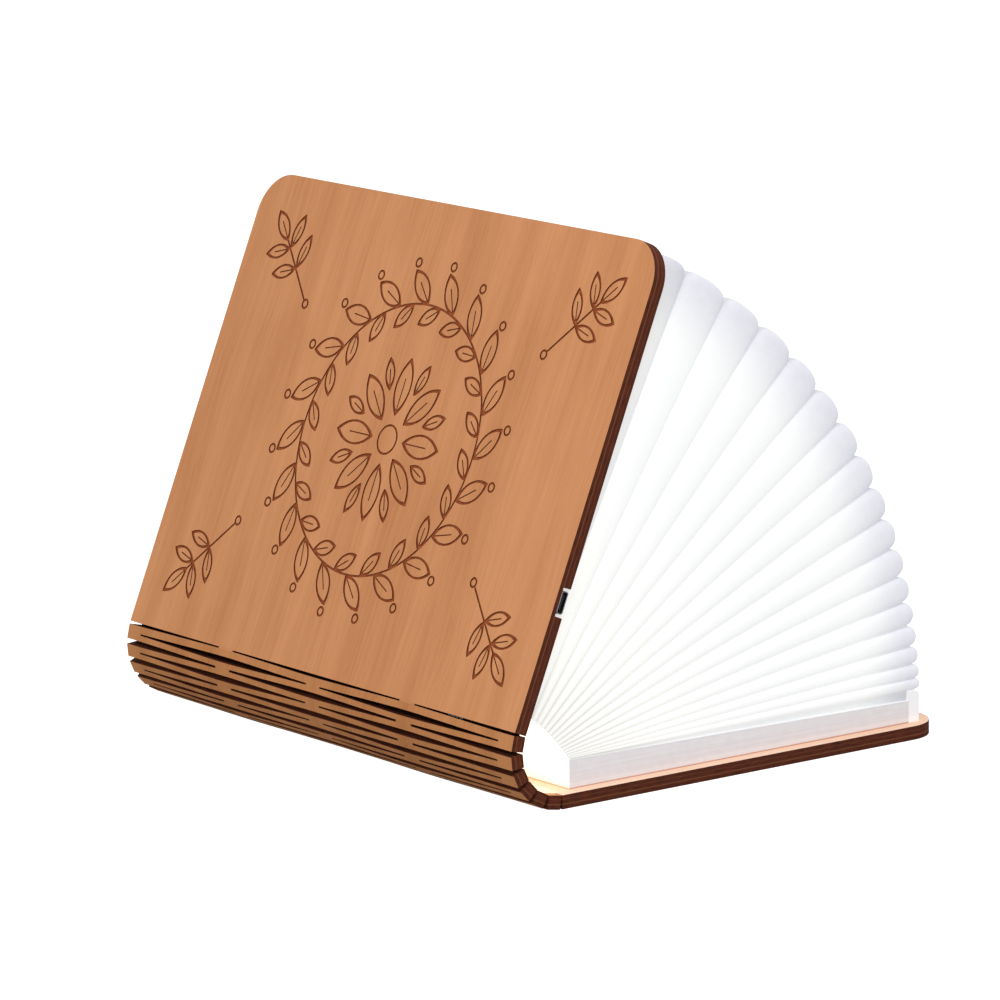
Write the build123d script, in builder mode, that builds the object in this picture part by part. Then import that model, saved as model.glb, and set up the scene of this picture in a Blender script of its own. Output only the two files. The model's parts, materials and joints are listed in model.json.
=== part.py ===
from build123d import *
import os
from math import asin, atan2, cos, degrees, hypot, radians, sin

os.makedirs("parts", exist_ok=True)

# A folding book lamp, half open on its back cover. Millimetres, +Z up, +X from the spine
# towards the fore-edge, +Y along the spine. The origin is the middle of the back cover's underside.

# Covers: a thin face ply bonded to a thicker core ply
cover_width = 160.0
cover_length = 215.0
face_ply = 1.6
core_ply = 3.0
cover_corner = 14.2
opening_angle = 67.5

# Living hinge of the spine: strips between rows of slots. The first and last rows bend by a share of
# the others, because the stiff covers hold one side of them.
strip_count = 6
strip_pitch = 5.6
hinge_slot = 1.25
end_row_share = 0.5
web_length = 8.0
web_spacing = 101.5
mid_slot = 0.55
mid_slot_swell = 0.35
mid_bridge = 7.5
strip_end_margin = 7.5

# Page block
page_count = 17
spine_setback = 6.5
end_setback = 4.8
page_reach_low = 156.3
page_reach_high = 153.0
page_reach_dip = 3.3
page_tip_depth = 7.0
tip_roundness = 0.45
paper = 0.18
page_bow = 1.0
band_bow = 1.2
narrow_share = 1.4
wide_share = 7.3
last_share = 4.8
share_growth = 0.9
end_paper = 0.3
end_paper_gap = 1.1

# White band on the spine side of the pages
band_thickness = 0.4
band_clearance = 0.2

# Light box on the back cover
box_length = 141.1
box_height = 9.4
box_end_height = 7.3
box_wall = 1.2
end_fold_width = 4.5
end_fold_rise = 3.3
end_fold_round = 2.0
channel_width = 6.0
diffuser_thickness = 1.0
fit_clearance = 0.1

# Battery and driver in the box
cell_size = (38.0, 62.0, 4.6)
cell_edge = 1.2
cell_gap = 6.0
pad_thickness = 0.4
pad_margin = 3.0
driver_size = (16.0, 30.0, 1.0)
driver_standoff = 0.8
lead_diameter = 1.0
lead_spacing = 6.0
lead_length = 10.0

# LED strip behind the band
led_count = 12
led_size = 2.4
led_height = 0.8
led_board_section = (1.0, 5.0)
led_board_margin = 3.5
led_board_rise = 0.8

# Magnets that hold the book shut
magnet_diameter = 8.0
magnet_thickness = 2.0
magnet_inset = 12.0
magnet_clearance = 0.05

# Charging socket, its board and the notch in the front cover
socket_place = 43.2
notch_width = 9.5
notch_depth = 5.6
socket_width = 7.5
socket_height = 2.6
socket_length = 5.2
socket_wall = 0.3
socket_corner = 0.9
tongue_width = 4.6
tongue_thickness = 0.6
tongue_gap = 0.6
pocket_width = 16.0
pocket_length = 36.0
charge_board_thickness = 0.8
chip_height = 1.1

# Flat ribbon from the charging board over the spine to the box
ribbon_width = 8.0
ribbon_margin = 1.0
ribbon_thickness = 0.25
ribbon_clearance = 0.1
ribbon_slot_height = 1.0
ribbon_tail = 3.5
ribbon_lead = 1.0

# Engraving: a leafy wreath with berries round a rosette, and a sprig in each corner
engrave_depth = 0.35
engrave_line = 0.75
rib_line = 0.45
wreath_radius = 46.0
wreath_leaves = 20
wreath_outer_leaf = (16.0, 7.2)
wreath_inner_leaf = (12.0, 5.6)
wreath_lean = 48.0
berry_radius = 1.8
berry_ring = 60.2
berry_shift = 0.62
rosette_petals = 8
rosette_petal = (20.0, 8.4)
rosette_root = 8.0
rosette_small_petal = (12.0, 5.0)
rosette_small_root = 17.0
rosette_hub = 5.2
sprig_inset = 22.0
sprig_tip_leaf = (14.0, 6.0)
sprig_leaf = (13.0, 5.2)
sprig_joints = (4.0, 13.0)
sprig_spread = 60.0
sprig_stem = 27.0

# Values worked out from the driving dimensions
cover_thickness = face_ply + core_ply
half_thickness = cover_thickness / 2
half_length = cover_length / 2
spine_edge = -cover_width / 2
joint_bend = (180.0 - opening_angle) / (strip_count - 1 + 2 * end_row_share)
strip_width = strip_pitch - hinge_slot
block_length = cover_length - 2 * end_setback
half_block = block_length / 2


def heading(body):
    """Direction of a spine body's own X axis in the XZ plane, in degrees: 0 is the back cover."""
    rows = min(body, 1) * end_row_share + max(min(body, strip_count) - 1, 0)
    if body > strip_count:
        rows += end_row_share
    return 180.0 - joint_bend * rows


def hinge_point(number):
    """Place of a hinge axis in the XZ plane, in the middle of the cover's thickness."""
    x, z = spine_edge - hinge_slot / 2, half_thickness
    for strip in range(1, number):
        x += strip_pitch * cos(radians(heading(strip)))
        z += strip_pitch * sin(radians(heading(strip)))
    return x, z


def body_plane(body, level=0.0):
    """Plane of a spine body, its origin on the body's first hinge, +X along the body and +Z outwards."""
    x, z = hinge_point(body)
    angle = radians(heading(body))
    normal = (-sin(angle), 0, cos(angle))
    origin = (x + level * normal[0], 0, z + level * normal[2])
    return Plane(origin=origin, x_dir=(cos(angle), 0, sin(angle)), z_dir=normal)


def on_body(body, along, out):
    """XZ place of a point given along and out of a spine body; for body 0, the back cover, along is -X."""
    x, z = hinge_point(max(body, 1))
    angle = radians(heading(body))
    return (
        x + along * cos(angle) - out * sin(angle),
        z + along * sin(angle) + out * cos(angle),
    )


def side_plane(y):
    """Upright plane across the spine, whose sketch X and Y are the lamp's X and Z. It faces -Y."""
    return Plane(origin=(0, y, 0), x_dir=(1, 0, 0), z_dir=(0, -1, 0))


front = strip_count + 1
front_face_level = half_thickness
front_inner_level = -half_thickness
cover_start = hinge_slot / 2

# Covers
front_middle = cover_start + cover_width / 2


def cover_outline(middle, fore_edge):
    """Cover outline in the current sketch: square at the spine, two round corners at the fore-edge."""
    with Locations((middle, 0)):
        sheet = Rectangle(cover_width, cover_length)
    fillet(sheet.vertices().group_by(Axis.X)[fore_edge], radius=cover_corner)


magnet_rows = (-half_length + magnet_inset, half_length - magnet_inset)
pocket_radius = magnet_diameter / 2 + magnet_clearance
pocket_depth = magnet_thickness + magnet_clearance
back_magnet_x = cover_width / 2 - magnet_inset
front_magnet_x = cover_start + cover_width - magnet_inset

with BuildPart() as back_face_sheet:
    with BuildSketch(Plane.XY):
        cover_outline(0.0, -1)
    extrude(amount=face_ply)
back_face_sheet.part.label = "back_face_sheet"

with BuildPart() as back_core_board:
    with BuildSketch(Plane.XY.offset(face_ply)):
        cover_outline(0.0, -1)
    extrude(amount=core_ply)
    with BuildSketch(Plane.XY.offset(face_ply)):
        with Locations(*[(back_magnet_x, row) for row in magnet_rows]):
            Circle(pocket_radius)
    extrude(amount=pocket_depth, mode=Mode.SUBTRACT)
back_core_board.part.label = "back_core_board"

with BuildPart() as back_magnets:
    with BuildSketch(Plane.XY.offset(face_ply)):
        with Locations(*[(back_magnet_x, row) for row in magnet_rows]):
            Circle(magnet_diameter / 2)
    extrude(amount=magnet_thickness)
back_magnets.part.label = "back_magnets"

# Front cover, drawn on its own tilted plane
bond_level = half_thickness - face_ply
socket_x = cover_start + socket_place
notch_middle = -half_length + notch_depth / 2
pocket_middle = -half_length + notch_depth + pocket_length / 2
ribbon_y = -half_length + notch_depth + pocket_length - ribbon_width / 2 - ribbon_margin
groove_depth = ribbon_thickness + ribbon_clearance
groove_start = socket_x - pocket_width / 2

with BuildPart() as front_core_board:
    with BuildSketch(body_plane(front, bond_level)):
        cover_outline(front_middle, -1)
        with Locations((socket_x, notch_middle)):
            Rectangle(notch_width, notch_depth, mode=Mode.SUBTRACT)
        with Locations((socket_x, pocket_middle)):
            Rectangle(pocket_width, pocket_length, mode=Mode.SUBTRACT)
    extrude(amount=-core_ply)
    with BuildSketch(body_plane(front, bond_level)):
        with Locations(*[(front_magnet_x, row) for row in magnet_rows]):
            Circle(pocket_radius)
    extrude(amount=-pocket_depth, mode=Mode.SUBTRACT)
    with BuildSketch(body_plane(front, front_inner_level)):
        with Locations(((cover_start + groove_start) / 2, ribbon_y)):
            Rectangle(groove_start - cover_start, ribbon_width + 2 * ribbon_clearance)
    extrude(amount=groove_depth, mode=Mode.SUBTRACT)
front_core_board.part.label = "front_core_board"

with BuildPart() as front_magnets:
    with BuildSketch(body_plane(front, bond_level)):
        with Locations(*[(front_magnet_x, row) for row in magnet_rows]):
            Circle(magnet_diameter / 2)
    extrude(amount=-magnet_thickness)
front_magnets.part.label = "front_magnets"


def leaf_shape(size, inset=0.0):
    """Pointed leaf along +X from the origin, drawn inside its outline by inset."""
    length, width = size
    tip = inset * length / width
    with BuildSketch() as leaf:
        with BuildLine():
            ThreePointArc((tip, 0), (length / 2, width / 2 - inset), (length - tip, 0))
            ThreePointArc((length - tip, 0), (length / 2, inset - width / 2), (tip, 0))
        make_face()
    return leaf.sketch


def leaf_outline(size):
    """Engraved outline of a leaf with its middle rib."""
    with BuildSketch() as leaf:
        add(leaf_shape(size))
        add(leaf_shape(size, engrave_line), mode=Mode.SUBTRACT)
        with Locations((size[0] * 0.36, 0)):
            Rectangle(size[0] * 0.56, rib_line)
    return leaf.sketch


def engraved_ring(radius):
    """Engraved line round a circle, in the current sketch's locations."""
    with BuildSketch() as ring:
        Circle(radius)
        Circle(radius - engrave_line, mode=Mode.SUBTRACT)
    return ring.sketch


def ring_place(radius, angle, turn=0.0):
    """Place on a circle round the origin, turned from the outward direction."""
    place = (radius * cos(radians(angle)), radius * sin(radians(angle)), 0)
    return Location(place, (0, 0, angle + turn))


with BuildSketch() as engraving:
    # Rosette: large petals round a hub, and small ones between their outer halves
    petal_step = 360.0 / rosette_petals
    for number in range(rosette_petals):
        with Locations(ring_place(rosette_root, number * petal_step)):
            add(leaf_outline(rosette_petal))
        with Locations(ring_place(rosette_small_root, (number + 0.5) * petal_step)):
            add(leaf_outline(rosette_small_petal))
    add(engraved_ring(rosette_hub))
    # Wreath: a ring with leaves leaning outwards and inwards, and a berry beyond each outer leaf
    add(engraved_ring(wreath_radius + engrave_line / 2))
    leaf_step = 360.0 / wreath_leaves
    for number in range(wreath_leaves):
        with Locations(ring_place(wreath_radius, number * leaf_step, wreath_lean)):
            add(leaf_outline(wreath_outer_leaf))
        with Locations(ring_place(wreath_radius, (number + 0.5) * leaf_step, 180 - wreath_lean)):
            add(leaf_outline(wreath_inner_leaf))
        with Locations(ring_place(berry_ring, (number + berry_shift) * leaf_step)):
            add(engraved_ring(berry_radius))
    # A sprig in each corner: a stem with a berry at its foot, a tip leaf and two pairs of leaves
    for side_x in (-1, 1):
        for side_y in (-1, 1):
            corner = (side_x * (cover_width / 2 - sprig_inset), side_y * (half_length - sprig_inset), 0)
            with Locations(Location(corner, (0, 0, degrees(atan2(side_y, side_x))))):
                with Locations((-engrave_line, 0)):
                    add(leaf_outline(sprig_tip_leaf))
                with Locations((-sprig_stem / 2, 0)):
                    Rectangle(sprig_stem, engrave_line)
                with Locations((engrave_line / 2 - sprig_stem - berry_radius, 0)):
                    add(engraved_ring(berry_radius))
                for joint in sprig_joints:
                    for side in (-1, 1):
                        with Locations(Location((-joint, 0, 0), (0, 0, side * sprig_spread))):
                            add(leaf_outline(sprig_leaf))

with BuildPart() as front_face_sheet:
    with BuildSketch(body_plane(front, bond_level)):
        cover_outline(front_middle, -1)
    extrude(amount=face_ply)
    with BuildSketch(body_plane(front, front_face_level)):
        with Locations((front_middle, 0)):
            add(engraving.sketch)
    extrude(amount=-engrave_depth, mode=Mode.SUBTRACT)
front_face_sheet.part.label = "front_face_sheet"

# Spine strips, each with its closed slots down the middle
mid_slot_length = (cover_length - mid_bridge) / 2 - strip_end_margin
mid_slot_place = mid_bridge / 2 + mid_slot_length / 2
strips = []


def swollen_slot():
    """Closed slot along Y, narrow at its ends and sprung open in its middle."""
    end, side, belly = mid_slot_length / 2, mid_slot / 2, mid_slot / 2 + mid_slot_swell
    with BuildSketch() as slot:
        with BuildLine():
            ThreePointArc((side, -end), (belly, 0), (side, end))
            Line((side, end), (-side, end))
            ThreePointArc((-side, end), (-belly, 0), (-side, -end))
            Line((-side, -end), (side, -end))
        make_face()
    return slot.sketch


for number in range(1, strip_count + 1):
    with BuildPart() as spine_strip:
        with BuildSketch(body_plane(number, -half_thickness)):
            with Locations((strip_pitch / 2, 0)):
                Rectangle(strip_width, cover_length)
            with Locations((strip_pitch / 2, -mid_slot_place), (strip_pitch / 2, mid_slot_place)):
                add(swollen_slot(), mode=Mode.SUBTRACT)
        extrude(amount=cover_thickness)
    spine_strip.part.label = f"spine_strip_{number}"
    strips.append(spine_strip.part)

# Webs that bridge each hinge row, two to a row, between the faces of the bodies on either side
webs = []
for number in range(1, front + 1):
    side_a = [on_body(number, cover_start, out) for out in (-half_thickness, half_thickness)]
    if number == 1:
        side_b = [(spine_edge, cover_thickness), (spine_edge, 0.0)]
    else:
        end = strip_pitch - hinge_slot / 2
        side_b = [on_body(number - 1, end, out) for out in (-half_thickness, half_thickness)]
    with BuildPart() as hinge_webs:
        for y in (-web_spacing / 2, web_spacing / 2):
            with BuildSketch(side_plane(y + web_length / 2)):
                with BuildLine():
                    Polyline(side_b[0], side_b[1], side_a[1], side_a[0], close=True)
                make_face()
            extrude(amount=web_length)
    hinge_webs.part.label = f"hinge_webs_{number}"
    webs.append(hinge_webs.part)

# Light box: a tray with an open channel for the LEDs along the spine side, and a sloping lid
box_start = spine_edge + spine_setback
box_end = box_start + box_length
box_floor = cover_thickness
box_slope = (box_height - box_end_height) / box_length


def box_top(x):
    """Height of the lid's upper face."""
    return box_floor + box_height - (x - box_start) * box_slope


def lid_foot(x):
    """Height of the lid's lower face."""
    return box_top(x) - box_wall


end_paper_width = box_length - end_paper_gap
channel_end = box_start + channel_width
partition_end = channel_end + box_wall
bay_end = box_end - box_wall
half_bay = half_block - box_wall
ribbon_opening = ribbon_width + 2 * fit_clearance

with BuildPart() as light_box_tray:
    with BuildSketch(side_plane(half_block)):
        with BuildLine():
            Polyline(
                (box_start, box_floor),
                (box_end, box_floor),
                (box_end, lid_foot(box_end)),
                (channel_end, lid_foot(channel_end)),
                (channel_end, box_floor + box_wall),
                (box_start, box_floor + box_wall),
                close=True,
            )
        make_face()
    extrude(amount=block_length)
    with BuildSketch(side_plane(half_bay)):
        with BuildLine():
            Polyline(
                (partition_end, box_floor + box_wall),
                (bay_end, box_floor + box_wall),
                (bay_end, box_top(bay_end)),
                (partition_end, box_top(partition_end)),
                close=True,
            )
        make_face()
    extrude(amount=2 * half_bay, mode=Mode.SUBTRACT)
    # End walls of the LED channel
    for y in (half_block, -half_bay):
        with BuildSketch(side_plane(y)):
            with BuildLine():
                Polyline(
                    (box_start, box_floor),
                    (channel_end, box_floor),
                    (channel_end, box_top(channel_end)),
                    (box_start, box_top(box_start)),
                    close=True,
                )
            make_face()
        extrude(amount=box_wall)
    # Slot for the ribbon and holes for the LED wires through the partition
    with BuildSketch(side_plane(ribbon_y + ribbon_opening / 2)):
        with Locations(((channel_end + partition_end) / 2, box_floor + box_wall + ribbon_slot_height / 2)):
            Rectangle(2 * box_wall, ribbon_slot_height)
    extrude(amount=ribbon_opening, mode=Mode.SUBTRACT)
light_box_tray.part.label = "light_box_tray"

with BuildPart() as light_box_lid:
    with BuildSketch(side_plane(half_block)):
        with BuildLine():
            Polyline(
                (channel_end, lid_foot(channel_end)),
                (box_end, lid_foot(box_end)),
                (box_end, box_top(box_end)),
                (channel_end, box_top(channel_end)),
                close=True,
            )
        make_face()
    extrude(amount=block_length)
light_box_lid.part.label = "light_box_lid"

with BuildPart() as light_diffuser:
    with BuildSketch(side_plane(half_bay - fit_clearance)):
        with BuildLine():
            Polyline(
                (box_start, box_top(box_start) - diffuser_thickness),
                (channel_end - fit_clearance, box_top(channel_end) - diffuser_thickness),
                (channel_end - fit_clearance, box_top(channel_end)),
                (box_start, box_top(box_start)),
                close=True,
            )
        make_face()
    extrude(amount=2 * (half_bay - fit_clearance))
light_diffuser.part.label = "light_diffuser"

with BuildPart() as light_box_end_fold:
    with BuildSketch(side_plane(half_block)):
        with Locations((box_end, box_floor)):
            fold = Rectangle(end_fold_width, box_end_height + end_fold_rise, align=(Align.MIN, Align.MIN))
        fillet(fold.vertices().group_by(Axis.Y)[-1].sort_by(Axis.X)[-1], radius=end_fold_round)
    extrude(amount=block_length)
light_box_end_fold.part.label = "light_box_end_fold"

# Battery cell on its pad, driver board beside it, wires between them
bay_floor = box_floor + box_wall
cell_x = partition_end + driver_size[0] + cell_gap + cell_size[0] / 2
cell_y = -half_bay + cell_size[1] / 2 + cell_gap
driver_x = cell_x
driver_y = cell_y + cell_size[1] / 2 + lead_length + driver_size[1] / 2
driver_foot = bay_floor + driver_standoff

with BuildPart() as battery_pad:
    with BuildSketch(Plane.XY.offset(bay_floor)):
        with Locations((cell_x, cell_y)):
            Rectangle(cell_size[0] - 2 * pad_margin, cell_size[1] - 2 * pad_margin)
    extrude(amount=pad_thickness)
battery_pad.part.label = "battery_pad"

with BuildPart() as battery_cell:
    with BuildSketch(Plane.XY.offset(bay_floor + pad_thickness)):
        with Locations((cell_x, cell_y)):
            RectangleRounded(cell_size[0], cell_size[1], cell_edge)
    extrude(amount=cell_size[2])
    fillet(battery_cell.edges().filter_by(Axis.Y), radius=cell_edge / 2)
battery_cell.part.label = "battery_cell"

with BuildPart() as driver_board:
    with BuildSketch(Plane.XY.offset(driver_foot)):
        with Locations((driver_x, driver_y)):
            Rectangle(driver_size[0], driver_size[1])
    extrude(amount=driver_size[2])
    # Standoffs moulded under the board's corners
    with BuildSketch(Plane.XY.offset(bay_floor)):
        with Locations((driver_x, driver_y)):
            with GridLocations(driver_size[0] - 4, driver_size[1] - 4, 2, 2):
                Circle(1.4)
    extrude(amount=driver_standoff)
driver_board.part.label = "driver_board"

driver_top = driver_foot + driver_size[2]
with BuildPart() as driver_chips:
    with BuildSketch(Plane.XY.offset(driver_top)):
        with Locations((driver_x - 3, driver_y - 6), (driver_x + 3.5, driver_y + 8)):
            Rectangle(5, 5)
        with Locations((driver_x + 4, driver_y - 4)):
            Circle(2.2)
        with Locations((driver_x - 3, driver_y + 7)):
            Rectangle(3, 4)
    extrude(amount=chip_height)
driver_chips.part.label = "driver_chips"

lead_level = driver_foot + driver_size[2] / 2
with BuildPart() as battery_leads:
    with BuildSketch(Plane.XZ.offset(-(cell_y + cell_size[1] / 2 + lead_length))):
        with Locations((cell_x - lead_spacing / 2, lead_level), (cell_x + lead_spacing / 2, lead_level)):
            Circle(lead_diameter / 2)
    extrude(amount=lead_length)
battery_leads.part.label = "battery_leads"

# LED board standing against the partition, its LEDs facing the spine
led_board_length = 2 * (half_bay - led_board_margin)
led_board_x = channel_end - led_board_section[0] / 2
led_board_foot = bay_floor + led_board_rise
led_middle = led_board_foot + led_board_section[1] / 2
led_pitch = led_board_length / led_count

with BuildPart() as led_board:
    with BuildSketch(Plane.XY.offset(led_board_foot)):
        with Locations((led_board_x, 0)):
            Rectangle(led_board_section[0], led_board_length)
    extrude(amount=led_board_section[1])
led_board.part.label = "led_board"

with BuildPart() as led_chips:
    with BuildSketch(Plane.YZ.offset(channel_end - led_board_section[0])):
        with Locations((0, led_middle)):
            with GridLocations(led_pitch, led_size, led_count, 1):
                Rectangle(led_size, led_size)
    extrude(amount=-led_height)
led_chips.part.label = "led_chips"

wire_start = channel_end
wire_length = driver_x - driver_size[0] / 2 - wire_start
wire_rows = (driver_y - lead_spacing / 2, driver_y + lead_spacing / 2)
with BuildPart() as led_leads:
    with BuildSketch(Plane.YZ.offset(wire_start)):
        with Locations(*[(row, lead_level) for row in wire_rows]):
            Circle(lead_diameter / 2)
    extrude(amount=wire_length)
led_leads.part.label = "led_leads"

with BuildPart(mode=Mode.PRIVATE) as wire_holes:
    with BuildSketch(Plane.YZ.offset(wire_start)):
        with Locations(*[(row, lead_level) for row in wire_rows]):
            Circle(lead_diameter / 2)
    extrude(amount=box_wall)
tray_solid = light_box_tray.part - wire_holes.part
tray_solid.label = "light_box_tray"

# Charging socket in the notch of the front cover
socket_plane = Plane(
    origin=body_plane(front, bond_level - socket_height / 2).from_local_coords((socket_x, -half_length, 0)),
    x_dir=body_plane(front).x_dir,
    z_dir=(0, -1, 0),
)
with BuildPart() as charge_socket:
    with BuildSketch(socket_plane):
        RectangleRounded(socket_width, socket_height, socket_corner)
    extrude(amount=-socket_length)
    with BuildSketch(socket_plane):
        RectangleRounded(
            socket_width - 2 * socket_wall, socket_height - 2 * socket_wall, socket_corner - socket_wall
        )
    extrude(amount=socket_wall - socket_length, mode=Mode.SUBTRACT)
charge_socket.part.label = "charge_socket"

with BuildPart() as charge_socket_tongue:
    with BuildSketch(socket_plane.offset(-tongue_gap)):
        Rectangle(tongue_width, tongue_thickness)
    extrude(amount=socket_wall + tongue_gap - socket_length)
charge_socket_tongue.part.label = "charge_socket_tongue"

charge_board_start = -half_length + socket_length
charge_board_end = pocket_middle + pocket_length / 2 - fit_clearance
charge_board_length = charge_board_end - charge_board_start
charge_board_middle = (charge_board_start + charge_board_end) / 2
charge_board_level = bond_level - socket_height / 2 - charge_board_thickness / 2
shoulder = charge_board_end - (pocket_middle - pocket_length / 2) - fit_clearance

with BuildPart() as charge_board:
    with BuildSketch(body_plane(front, charge_board_level)):
        with Locations((socket_x, charge_board_end - shoulder / 2)):
            Rectangle(pocket_width - 2 * fit_clearance, shoulder)
        with Locations((socket_x, charge_board_middle)):
            Rectangle(socket_width, charge_board_length)
    extrude(amount=charge_board_thickness)
charge_board.part.label = "charge_board"

# The ribbon's connector at the pocket's spine side, and the chips beside it
connector_x = groove_start + fit_clearance + ribbon_tail / 2
connector_height = charge_board_level - (ribbon_thickness - half_thickness)
with BuildPart() as charge_chips:
    with BuildSketch(body_plane(front, charge_board_level)):
        with Locations((connector_x, ribbon_y)):
            Rectangle(ribbon_tail, ribbon_width)
    extrude(amount=-connector_height)
    with BuildSketch(body_plane(front, charge_board_level)):
        with Locations((socket_x + 3.5, charge_board_end - 9)):
            Rectangle(3.0, 3.0)
        with Locations((socket_x + 3, charge_board_end - 3)):
            Rectangle(2.0, 1.2)
    extrude(amount=-chip_height)
charge_chips.part.label = "charge_chips"

# Root line of the pages: a shallow arc from the box's upper edge to the front cover's inner face
root_low = (box_start, box_top(box_start) + end_paper)
root_high = on_body(front, cover_start + spine_setback, front_inner_level - end_paper)
fan_centre = ((root_low[0] + root_high[0]) / 2, (root_low[1] + root_high[1]) / 2)
root_chord = hypot(root_high[0] - root_low[0], root_high[1] - root_low[1])
root_normal = (
    (root_high[1] - root_low[1]) / root_chord,
    (root_low[0] - root_high[0]) / root_chord,
)


def root_point(share, lift=0.0):
    """Point on the root line, share 0 at the box and 1 at the front cover, lifted towards the pages."""
    rise = 4 * band_bow * share * (1 - share) + lift
    return (
        root_low[0] + share * (root_high[0] - root_low[0]) + rise * root_normal[0],
        root_low[1] + share * (root_high[1] - root_low[1]) + rise * root_normal[1],
    )


# Share of the fan that each page takes: the lower ones are pressed together by the weight above
page_shares = [
    narrow_share + (wide_share - narrow_share) * (number / (page_count - 3)) ** share_growth
    for number in range(page_count - 1)
]
page_shares.append(last_share)
share_total = sum(page_shares)
fan_marks = [sum(page_shares[:number]) / share_total for number in range(page_count + 1)]


def reach(mark):
    """Distance of the page tips from the fan's centre: the middle pages are bowed most and reach least."""
    return page_reach_low + (page_reach_high - page_reach_low) * mark - 4 * page_reach_dip * mark * (1 - mark)


# The fan starts above the box's end fold and ends on the front cover's inner face
fold_top = box_floor + box_end_height + end_fold_rise
fan_low_rise = fold_top + band_clearance - fan_centre[1]
fan_low = degrees(asin(fan_low_rise / page_reach_low))
front_offset = (fan_centre[0] - root_high[0]) * sin(radians(opening_angle)) - (
    fan_centre[1] - root_high[1]
) * cos(radians(opening_angle))
fan_high = opening_angle + degrees(asin(front_offset / page_reach_high))
fan_angles = [fan_low + mark * (fan_high - fan_low) for mark in fan_marks]


def tip_depth(number):
    """How far the valley before a page lies inside the page tips, less where the folds are narrow."""
    depth = page_tip_depth
    for page in (number - 1, number):
        if 0 <= page < page_count:
            step = fan_angles[page + 1] - fan_angles[page]
            depth = min(depth, tip_roundness * reach(fan_marks[number]) * radians(step))
    return depth


def fan_point(angle, radius):
    """Point of the fan at an angle above the table and a distance from the fan's centre."""
    return (
        fan_centre[0] + radius * cos(radians(angle)),
        fan_centre[1] + radius * sin(radians(angle)),
    )


def moved(point, angle, distance):
    """Point moved square to a direction, to its left where distance is positive."""
    return (
        point[0] - distance * sin(radians(angle)),
        point[1] + distance * cos(radians(angle)),
    )


def fold_line(number, inset, reach_in=0.0):
    """Start, middle and end of the valley line before a page, moved sideways into the page by inset."""
    start = root_point(fan_marks[number], band_clearance)
    end = fan_point(fan_angles[number], reach(fan_marks[number]) - tip_depth(number))
    angle = degrees(atan2(end[1] - start[1], end[0] - start[0]))
    bow = 4 * page_bow * fan_marks[number] * (1 - fan_marks[number])
    middle = moved(((start[0] + end[0]) / 2, (start[1] + end[1]) / 2), angle, bow)
    run = hypot(end[0] - start[0], end[1] - start[1])
    start = (
        start[0] - reach_in * (end[0] - start[0]) / run,
        start[1] - reach_in * (end[1] - start[1]) / run,
    )
    return [moved(point, angle, inset) for point in (start, middle, end)]


def page_profile(page, y, inset, reach_in=0.0):
    """Outline of a page's fold on the side plane at y, its walls moved inwards by inset."""
    low = fold_line(page, inset, reach_in)
    high = fold_line(page + 1, -inset, reach_in)
    middle_reach = reach((fan_marks[page] + fan_marks[page + 1]) / 2)
    tip = fan_point((fan_angles[page] + fan_angles[page + 1]) / 2, middle_reach - inset)
    with BuildSketch(side_plane(y)) as outline:
        with BuildLine():
            if page > 0:
                ThreePointArc(*low)
            else:
                # The lowest fold lies on the lid and steps up over the end fold
                step_x = box_end - fit_clearance - inset
                step_z = box_top(step_x) + end_paper + inset
                Polyline(low[0], (step_x, step_z), (step_x, low[-1][1]), low[-1])
            ThreePointArc(low[-1], tip, high[-1])
            if page < page_count - 1:
                ThreePointArc(*reversed(high))
            else:
                Line(high[-1], high[0])
            Line(high[0], low[0])
        make_face()
    return outline.sketch


pages = []
for page in range(page_count):
    with BuildPart() as paper_page:
        extrude(page_profile(page, half_block, 0.0), amount=block_length)
        pocket = page_profile(page, half_block - paper, paper, band_clearance)
        extrude(pocket, amount=block_length - 2 * paper, mode=Mode.SUBTRACT)
    paper_page.part.label = f"page_{page + 1:02d}"
    pages.append(paper_page.part)

# End sheets of the page block
with BuildPart() as back_end_paper:
    with BuildSketch(side_plane(half_block)):
        sheet_end = box_start + end_paper_width
        with BuildLine():
            Polyline(
                (box_start, box_top(box_start)),
                (sheet_end, box_top(sheet_end)),
                (sheet_end, box_top(sheet_end) + end_paper - fit_clearance),
                (box_start, box_top(box_start) + end_paper - fit_clearance),
                close=True,
            )
        make_face()
    extrude(amount=block_length)
back_end_paper.part.label = "back_end_paper"

with BuildPart() as front_end_paper:
    with BuildSketch(body_plane(front, front_inner_level)):
        with Locations((cover_start + spine_setback + end_paper_width / 2, 0)):
            Rectangle(end_paper_width, block_length)
    extrude(amount=fit_clearance - end_paper)
front_end_paper.part.label = "front_end_paper"

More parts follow.
